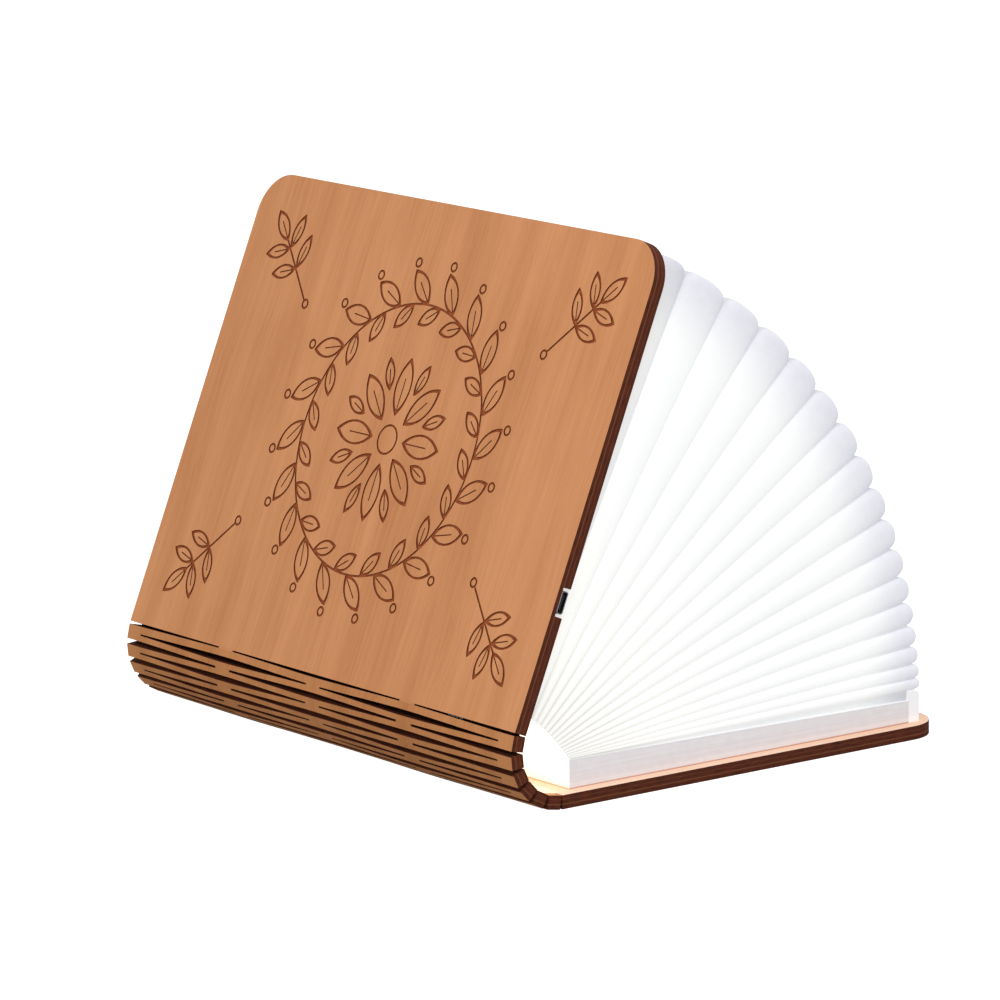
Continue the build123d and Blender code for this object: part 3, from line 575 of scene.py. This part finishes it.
# the box card's foot tint is a painted contact shadow where it stands on the board
boxCard = cardMaterial("boxCard", colour(242, 240, 244), colour(227, 224, 229), glow=0.03,
                       foot=[(0.0052, colour(196, 132, 102))])
foldPaper = cardMaterial("foldPaper", colour(248, 248, 250), colour(238, 239, 244), glow=0.16)
endPaper = cardMaterial("endPaper", colour(248, 248, 250), colour(236, 237, 243), glow=0.1)
# the band's foot tints are painted warm light and shade from the board under it
bandPaper = cardMaterial("bandPaper", colour(255, 254, 250), colour(250, 248, 243), glow=0.8,
                         foot=[(0.015, colour(236, 220, 204)), (0.0053, colour(190, 128, 80))])

# Fan of pages, with the model's own dimensions
fan = {
    "pages": 17,
    "reach": (0.1563, 0.153, 0.0033),     # lowest fold, highest fold, dip in the middle
    "topReach": 0.0035,                   # what the last folds reach farther
    "squareness": (2.0, 4.2),             # power of the tips' curve: 2 is an ellipse, more is squarer
    "halfLength": 0.1027,
    "rootLow": (-0.0735, 0.0143),
    "rootLift": 0.0002,
    "rootBow": 0.0012,
    "foldBow": 0.0010,
    "lowTop": 0.0154,
    "rootHigh": (0.0065, 0.0003),         # on the front cover: along from its edge, off its inner face
    "shares": (1.4, 7.3, 0.9, 4.8),       # the lowest fold, the widest, growth between them, the last fold
    "tipDepth": 0.0092,
    "tipShare": 0.54,                     # how deep a narrow fold's tip is, as a share of its width
    "tipLeast": 0.0008,                   # and this much more
    "crown": 2.6,                         # power of the curve of a page's end from crease to crease
    "groove": 0.0021,                     # how deep the creases are on the ends
    "grooveShare": 0.75,                  # of half a fold's width at most
    "cornerRadius": 0.0026,
    "sharpAngle": 60,
    "rows": 34,
    "cornerRows": (8, 10),                # on the first and the second half of a tip's corner
    "sidePoints": 15,
    "wallPoints": 9,
    "calibrateAt": 0.88,                  # where along a fold the weights of its two bodies are exact
    "coverShade": 0.88,                    # painted shade: the fold beside the front cover gets less light
    "toneSpread": 0.012,
}
lid = {                                   # sloping top of the light box, which the lowest fold lies on
    "start": (-0.0735, 0.0139),
    "drop": 0.0021,
    "run": 0.1411,
    "end": 0.0674,                        # the end fold begins here
    "clearance": 0.0003,
}
rootLow = np.array(fan["rootLow"])
rootHigh = onBody(hingeCount, spine["slot"] / 2 + fan["rootHigh"][0], -halfThickness - fan["rootHigh"][1])
fanCentre = (rootLow + rootHigh) / 2
rootRun = rootHigh - rootLow
rootNormal = np.array([rootRun[1], -rootRun[0]]) / np.hypot(*rootRun)

narrowest, widest, growth, lastOne = fan["shares"]
pageShares = narrowest + (widest - narrowest) * (np.arange(fan["pages"] - 1) / (fan["pages"] - 3)) ** growth
pageShares = np.append(pageShares, lastOne)
fanMarks = np.append(0.0, np.cumsum(pageShares)) / pageShares.sum()
opening = np.radians(spine["openingAngle"])
fanLow = np.arcsin((fan["lowTop"] - fanCentre[1]) / fan["reach"][0])
centreRun = fanCentre - rootHigh
frontOffset = centreRun[0] * np.sin(opening) - centreRun[1] * np.cos(opening)
fanHigh = opening + np.arcsin(frontOffset / fan["reach"][1])
foldTonesAndShade = 1.0 - np.random.default_rng(7).uniform(0.0, fan["toneSpread"], fan["pages"])
# painted shade on the fold beside the front cover
foldTonesAndShade[-1] = fan["coverShade"]


def fanAngle(mark):
    return fanLow + mark * (fanHigh - fanLow)


def reachAt(mark):
    # Distance of the tips from the fan's centre: a straight change less a parabola's dip, more at the top
    low, high, dip = fan["reach"]
    return low + (high - low) * mark - 4 * dip * mark * (1 - mark) + fan["topReach"] * mark ** 6


def rootPoint(mark, lift=0.0):  # on the root arc: the chord plus a parabola's rise
    rise = 4 * fan["rootBow"] * mark * (1 - mark) + lift
    return rootLow + mark * rootRun + rise * rootNormal


def foldLine(mark, rho):  # points at distances rho (0 root, 1 tip) on a fold line, bowed like a parabola
    start = rootPoint(mark, fan["rootLift"])
    angle = fanAngle(mark)
    end = fanCentre + reachAt(mark) * np.array([np.cos(angle), np.sin(angle)])
    across = np.array([-(end - start)[1], (end - start)[0]]) / np.hypot(*(end - start))
    bow = 4 * fan["foldBow"] * mark * (1 - mark)
    return start + rho[:, None] * (end - start) + (4 * bow * rho * (1 - rho))[:, None] * across


def capShape(a):  # crown of a page's end: 1 in the middle, 0 at the creases, steep there
    return np.sqrt(np.clip(1 - np.abs(a) ** fan["crown"], 0, 1))


def pageChain(low, high, closed):
    # Points round a page's section between across = low and high, as (across, side or wall place)
    across = np.sin(np.linspace(-1, 1, fan["sidePoints"]) * np.pi / 2)
    across = np.unique(np.concatenate([across[(across >= low) & (across <= high)], [low, high]]))
    wall = np.linspace(-1, 1, fan["wallPoints"] + 2)[1:-1]
    near = np.stack([across, -np.ones(len(across))], -1)
    far = np.stack([across, np.ones(len(across))], -1)
    highWall = np.stack([np.full(len(wall), high), wall], -1)
    lowWall = np.stack([np.full(len(wall), low), wall[::-1]], -1)
    if closed:
        return np.concatenate([near, highWall, far[::-1], lowWall])
    if low <= -1:  # open on its upper side, where the other part of the page goes on
        return np.concatenate([far[::-1], lowWall, near])
    return np.concatenate([near, highWall, far[::-1]])


def tipRows(page, low, high):
    # Rows of a page part along its fold (rho) and how much of its width is left there (closing). The tip is
    # a superellipse: run ** power + closing ** power = 1, with run from 0 at the corner's start to 1.
    step = fanAngle(fanMarks[page + 1]) - fanAngle(fanMarks[page])
    reach = reachAt((fanMarks[page] + fanMarks[page + 1]) / 2)
    depth = min(fan["tipDepth"], fan["tipShare"] * reach * step + fan["tipLeast"]) / reach
    power = between(fan["squareness"], (page / (fan["pages"] - 1)) ** 2)
    bend = 2 ** (-1 / power)  # the middle of the corner
    first, second = fan["cornerRows"]
    run = np.append(np.linspace(0, bend, first),
                    (1 - np.linspace(bend, 0, second)[1:] ** power) ** (1 / power))
    if low > -1 or high < 1:
        meeting = (1 - abs(high if high < 1 else low) ** power) ** (1 / power)
        run = np.unique(np.append(run[np.abs(run - meeting) > 0.002], meeting))
        run = run if low <= 0 <= high else run[run <= meeting]
    rho = np.append(np.linspace(0, 1 - depth, fan["rows"])[:-1], 1 - depth * (1 - run))
    closing = np.append(np.ones(fan["rows"] - 1), np.clip(1 - run ** power, 0, 1) ** (1 / power))
    return rho, closing, reach


def makePagePart(page, low, high, name):
    # Surface: the fold's middle line plus place times its half width, closed to a ridge by a rounded corner.
    # A page that is cut has a main part with the ridge; a side part ends where its corner meets the cut.
    rho, closing, reach = tipRows(page, low, high)
    closed = low <= 0 <= high
    lower = foldLine(fanMarks[page], rho)
    upper = foldLine(fanMarks[page + 1], rho)
    middle, half = (lower + upper) / 2, (upper - lower) / 2
    width = np.hypot(*half.T) * closing
    ends = reach * (1 - rho)
    corner = fan["cornerRadius"]
    trimmed = corner - np.sqrt(np.clip(corner ** 2 - np.clip(corner - ends, 0, corner) ** 2, 0, None))
    reachY = fan["halfLength"] - trimmed
    groove = np.minimum(fan["groove"], fan["grooveShare"] * width)[:, None]
    a, side = pageChain(low, high, closed).T
    lowPlace, highPlace = np.maximum(low, -closing), np.minimum(high, closing)
    place = lowPlace[:, None] + (a - low) / (high - low) * (highPlace - lowPlace)[:, None]
    across = (place / np.maximum(closing, 1e-6)[:, None]).clip(-1, 1)
    across[-1] = across[-2]
    xz = middle[:, None] + place[..., None] * half[:, None]
    y = side * (reachY[:, None] - groove + groove * capShape(across) * (np.abs(side) == 1))
    grid = np.stack([xz[..., 0], y, xz[..., 1]], -1)
    if page == 0:  # the lowest fold lies on the lid behind the end fold
        startX, startZ = lid["start"]
        rest = startZ - (grid[..., 0] - startX) * lid["drop"] / lid["run"] + lid["clearance"]
        lies = (grid[..., 0] < lid["end"]) & (a <= -0.999)
        grid[..., 2] = np.where(lies, np.minimum(grid[..., 2], rest), grid[..., 2])
    values = {"alongFold": np.broadcast_to(rho[:, None], y.shape), "acrossFold": across,
              "foldToneAndShade": np.full(y.shape, foldTonesAndShade[page])}
    piece = meshPiece(name, grid.reshape(-1, 3), gridFaces(len(rho), len(a), closed),
                      sharpAngle=fan["sharpAngle"] if low > -1 or high < 1 else None, attributes=values)
    setMaterial(piece, pagePaper)
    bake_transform(piece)
    return piece


for page in range(fan["pages"]):
    first, second = fanMarks[page], fanMarks[page + 1]
    cuts = [mark for mark in turnShare[1:-1] if first < mark < second]
    limits = [-1.0] + [2 * (mark - first) / (second - first) - 1 for mark in cuts] + [1.0]
    for part in range(len(limits) - 1):
        piece = makePagePart(page, limits[part], limits[part + 1], f"page{page + 1:02d}{'abc'[part]}")
        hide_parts(f"page_{page + 1:02d}")
print("pages done")


def thinStrip(name, path, thickness, yLow, yHigh, sideName=None):
    # Band, lining or ribbon: four corners at each point of a path, set off square to it, both ends closed
    run = np.gradient(path, axis=0)
    square = np.stack([-run[:, 1], run[:, 0]], -1) / np.hypot(*run.T)[:, None]
    offsets = np.array([[0.5, yLow], [-0.5, yLow], [-0.5, yHigh], [0.5, yHigh]])
    xz = path[:, None] + square[:, None] * (offsets[:, 0] * thickness)[None, :, None]
    places = np.stack([xz[..., 0], np.broadcast_to(offsets[:, 1], xz.shape[:2]), xz[..., 1]], -1)
    sides = {sideName: np.broadcast_to(offsets[:, 0] > 0, xz.shape[:2])} if sideName else None
    return meshPiece(name, places.reshape(-1, 3), barFaces(len(path)), sharpAngle=35, attributes=sides)


# Band on the spine side of the pages, its foot upright on the board
band = {"thickness": 0.0004, "halfLength": 0.1027, "rows": 13, "footRows": 9, "foot": 0.0046}
footX = np.full(band["footRows"], rootLow[0] - band["thickness"] / 2)
footPath = np.stack([footX, np.linspace(band["foot"], rootLow[1], band["footRows"])], -1)
bandFoot = thinStrip("bandFoot", footPath, band["thickness"], -band["halfLength"], band["halfLength"])
setMaterial(bandFoot, bandPaper)
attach(bandFoot, "back_cover")
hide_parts("core_band")
for k in range(1, hingeCount + 1):
    marks = np.linspace(turnShare[k - 1], turnShare[k], band["rows"])
    path = np.array([rootPoint(mark, -band["thickness"] / 2) for mark in marks])
    bandPart = thinStrip(f"bandPart{k}", path, band["thickness"], -band["halfLength"], band["halfLength"])
    setMaterial(bandPart, bandPaper)
    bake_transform(bandPart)
    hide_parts("core_band")
print("band done")

# Lining behind the slots of the spine: cream paper towards the pages, a dark cloth-like weave towards the
# wood whose darkness is painted shade inside the slots
lining = {
    "thickness": 0.00006,
    "gap": 0.00002,
    "ends": (-0.1043, 0.1069),
    "seam": 0.72,                         # where two linings meet on a strip, as a share of its pitch
    "onCover": 0.0022,
    "samples": 6,
    "weaveScale": 1800.0,
    "roughness": 0.9,
    "specular": 0.1,
    "bump": (0.3, 0.0001),                # strength, depth
    "shadeCloth": colour(34, 20, 14),
    "shadeClothLight": colour(52, 32, 23),
    "paper": colour(250, 237, 213),
}


def liningMaterial():
    material, tree, shader = newMaterial("spineLining")
    place = addNode(tree, "ShaderNodeTexCoord").outputs["Object"]
    outside = addNode(tree, "ShaderNodeAttribute", attribute_name="woodSide").outputs["Fac"]
    weave = noise(tree, place, lining["weaveScale"], 3.0, 0.6)
    # the dark wood side is painted shade for the slots
    shadeCloth = mixColour(tree, ramp(tree, weave, 0.3, 0.7), lining["shadeCloth"], lining["shadeClothLight"])
    sides = mixColour(tree, ramp(tree, outside, 0.4, 0.6), lining["paper"], shadeCloth)
    tree.links.new(sides, shader["Base Color"])
    shader["Roughness"].default_value = lining["roughness"]
    shader["Specular IOR Level"].default_value = lining["specular"]
    putBump(tree, shader, weave, *lining["bump"])
    return material


spineLining = liningMaterial()
liningOut = -(halfThickness + lining["gap"] + lining["thickness"] / 2)
edge, seam, samples = spine["slot"] / 2, lining["seam"] * spine["pitch"], lining["samples"]
for k in range(1, hingeCount + 1):
    begin = -lining["onCover"] if k == 1 else seam
    stop = lining["onCover"] if k == hingeCount else seam
    before = np.linspace(begin, -edge if k == 1 else spine["pitch"] - edge, samples)
    after = np.linspace(edge, stop, samples)
    path = np.concatenate([onBody(k - 1, before, liningOut).T, onBody(k, after, liningOut).T])
    cover = thinStrip(f"spineLining{k}", path, lining["thickness"], *lining["ends"], sideName="woodSide")
    setMaterial(cover, spineLining)
    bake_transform(cover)
print("lining done")

dress(boxCard, "light_box_tray", "light_box_lid")
dress(foldPaper, "light_box_end_fold")
dress(endPaper, "back_end_paper", "front_end_paper")


def plainPart(name, base, second, scale, roughness, metallic=0.0, glow=0.0, bump=0.1):
    # Moulded, printed or plated part: two close colours in fine clouds
    material, tree, shader = newMaterial(name)
    place = addNode(tree, "ShaderNodeTexCoord").outputs["Object"]
    clouds = noise(tree, place, scale, 4.0, 0.6)
    mixed = mixColour(tree, ramp(tree, clouds, 0.3, 0.7), base, second)
    tree.links.new(mixed, shader["Base Color"])
    tree.links.new(ramp(tree, clouds, 0.2, 0.8, roughness - 0.05, roughness + 0.08), shader["Roughness"])
    shader["Metallic"].default_value = metallic
    if glow:
        tree.links.new(mixed, shader["Emission Color"])
        shader["Emission Strength"].default_value = glow
    putBump(tree, shader, clouds, bump, 0.0001)
    return material


socketSteel = plainPart("socketSteel", colour(196, 197, 200), colour(168, 170, 175), 900, 0.3, metallic=1.0)
magnetPlate = plainPart("magnetPlate", colour(205, 205, 208), colour(180, 181, 186), 600, 0.2, metallic=1.0)
blackPart = plainPart("blackPart", colour(26, 26, 28), colour(38, 38, 41), 1500, 0.5)
boardGreen = plainPart("boardGreen", colour(22, 92, 52), colour(14, 66, 38), 1200, 0.35)
cellFoil = plainPart("cellFoil", colour(196, 199, 203), colour(176, 180, 186), 260, 0.38, metallic=0.8)
padFoam = plainPart("padFoam", colour(52, 52, 54), colour(36, 36, 38), 2400, 0.85, bump=0.5)
wireSleeve = plainPart("wireSleeve", colour(172, 40, 34), colour(150, 30, 26), 800, 0.45)
ledLight = plainPart("ledLight", colour(255, 250, 236), colour(255, 244, 220), 900, 0.4, glow=2.0)
diffuserFrost = plainPart("diffuserFrost", colour(248, 248, 246), colour(240, 240, 238), 1200, 0.6,
                          glow=0.5)
ribbonFilm = plainPart("ribbonFilm", colour(238, 238, 236), colour(226, 226, 226), 700, 0.35)
dress(socketSteel, "charge_socket")
dress(blackPart, "charge_socket_tongue", "charge_chips", "driver_chips")
dress(boardGreen, "charge_board", "driver_board", "led_board")
dress(magnetPlate, "back_magnets", "front_magnets")
dress(cellFoil, "battery_cell")
dress(padFoam, "battery_pad")
dress(wireSleeve, "battery_leads", "led_leads")
dress(ledLight, "led_chips")
dress(diffuserFrost, "light_diffuser")

# The ribbon runs from the pocket of the front cover over the strips' inner side to the box
ribbon = {
    "thickness": 0.00025,
    "width": 0.008,
    "gap": 0.0001,
    "onBoard": (-0.0002, 0.001),          # places beside the board's edge
    "beforeBox": 0.0024,                  # where it leaves the board to rise into the box
    "intoBox": (-0.0009, 0.0107),
    "slotHeight": 0.0063,
    "alongCover": (0.0013, 0.012, 0.0393),
    "rows": 9,
}
lying = -(halfThickness + ribbon["gap"] + ribbon["thickness"] / 2)
sunk = -(halfThickness - ribbon["thickness"] / 2)
edgeX = hinges[0][0] + spine["slot"] / 2
onBoardZ = halfThickness - lying
backRun = np.array([[edgeX + ribbon["onBoard"][0], onBoardZ], [edgeX + ribbon["onBoard"][1], onBoardZ],
                    [rootLow[0] - ribbon["beforeBox"], onBoardZ],
                    *[[rootLow[0] + reach, ribbon["slotHeight"]] for reach in ribbon["intoBox"]]])
frontRun = np.array([onBody(hingeCount, along, sunk) for along in ribbon["alongCover"]])
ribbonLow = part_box("charge_ribbon")[0][1]
ribbonY = (ribbonLow, ribbonLow + ribbon["width"])


def ribbonPart(name, path, bodies):
    film = thinStrip(name, path, ribbon["thickness"], *ribbonY)
    setMaterial(film, ribbonFilm)
    if len(bodies) == 1:
        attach(film, bodies[0])
    else:
        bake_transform(film)
    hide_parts("charge_ribbon")


overStrips = [onBody(k, spine["pitch"] / 2, lying) for k in range(1, hingeCount)]
stops = [backRun[0], *overStrips, frontRun[0]]
ribbonPart("ribbonInBox", backRun, ["back_cover"])
ribbonPart("ribbonInCover", frontRun, ["front_cover"])
for k in range(1, hingeCount + 1):
    share = np.linspace(0, 1, ribbon["rows"])[:, None]
    ribbonPart(f"ribbonOverHinge{k}", stops[k - 1] * (1 - share) + stops[k] * share,
               [spine["bodies"][k - 1], spine["bodies"][k]])
print("inner parts done")

studio = {
    "floorSize": 6.0,
    "floorGrey": 0.35,
    "floorRoughness": 0.9,
    "floorGlow": (0.12, 1.0),             # what the lamp gets, what the camera sees
    "worldStrength": (0.76, 1.0),
    "keyPlace": (-0.42, -0.74, 0.92),
    "keyTarget": (-0.04, -0.05, 0.09),
    "keySize": 0.6,
    "keyEnergy": 4.5,
    "keyTint": (1.0, 0.98, 0.96),
    "lens": 225.68,
    "sensor": 36.0,
    "cameraPlace": (-1.24687, -1.62457, 0.48042),
    "cameraAngles": (-37.0139, 11.2581, -0.7227),  # azimuth, elevation, roll in degrees
}
white = (1.0, 1.0, 1.0, 1.0)


def glowFor(tree, pair):  # the first value for the lamp, the second for the camera
    seen = addNode(tree, "ShaderNodeLightPath").outputs["Is Camera Ray"]
    return maths(tree, "ADD", pair[0], maths(tree, "MULTIPLY", seen, pair[1] - pair[0]))


size = studio["floorSize"]
floorMesh = bpy.data.meshes.new("studioFloor")
floorMesh.from_pydata([(-size, -size, 0), (size, -size, 0), (size, size, 0), (-size, size, 0)], [],
                      [(0, 1, 2, 3)])
studioFloor = bpy.data.objects.new("studioFloor", floorMesh)
bpy.context.scene.collection.objects.link(studioFloor)
floorMaterial, floorTree, floorShader = newMaterial("studioFloor")
floorShader["Base Color"].default_value = (*[studio["floorGrey"]] * 3, 1.0)
floorShader["Roughness"].default_value = studio["floorRoughness"]
floorShader["Specular IOR Level"].default_value = 0.0
floorShader["Emission Color"].default_value = white
floorTree.links.new(glowFor(floorTree, studio["floorGlow"]), floorShader["Emission Strength"])
setMaterial(studioFloor, floorMaterial)

world = bpy.data.worlds.new("studio")
world.use_nodes = True
background = world.node_tree.nodes["Background"].inputs
background["Color"].default_value = white
world.node_tree.links.new(glowFor(world.node_tree, studio["worldStrength"]), background["Strength"])
bpy.context.scene.world = world

lamp = bpy.data.lights.new("keyLight", "AREA")
lamp.shape = "DISK"
lamp.size = studio["keySize"]
lamp.energy = studio["keyEnergy"]
lamp.color = studio["keyTint"]
keyLight = bpy.data.objects.new("keyLight", lamp)
keyLight.location = studio["keyPlace"]
aim = Vector(studio["keyTarget"]) - Vector(studio["keyPlace"])
keyLight.rotation_euler = aim.to_track_quat("-Z", "Y").to_euler()
bpy.context.scene.collection.objects.link(keyLight)

cameraData = bpy.data.cameras.new("camera")
cameraData.lens = studio["lens"]
cameraData.sensor_width = studio["sensor"]
camera = bpy.data.objects.new("camera", cameraData)
azimuth, elevation, roll = np.radians(studio["cameraAngles"])
level = np.cos(elevation)
back = np.array([np.sin(azimuth) * level, -np.cos(azimuth) * level, np.sin(elevation)])
right = np.cross([0, 0, 1], back) / np.linalg.norm(np.cross([0, 0, 1], back))
upward = np.cross(back, right)
turnedRight = np.cos(roll) * right + np.sin(roll) * upward
turnedUp = -np.sin(roll) * right + np.cos(roll) * upward
turn = np.stack([turnedRight, turnedUp, back], axis=1)
camera.matrix_world = Matrix.Translation(studio["cameraPlace"]) @ Matrix(turn.tolist()).to_4x4()
bpy.context.scene.collection.objects.link(camera)
bpy.context.scene.camera = camera
bpy.context.scene.view_settings.view_transform = "Standard"
print("stage done")
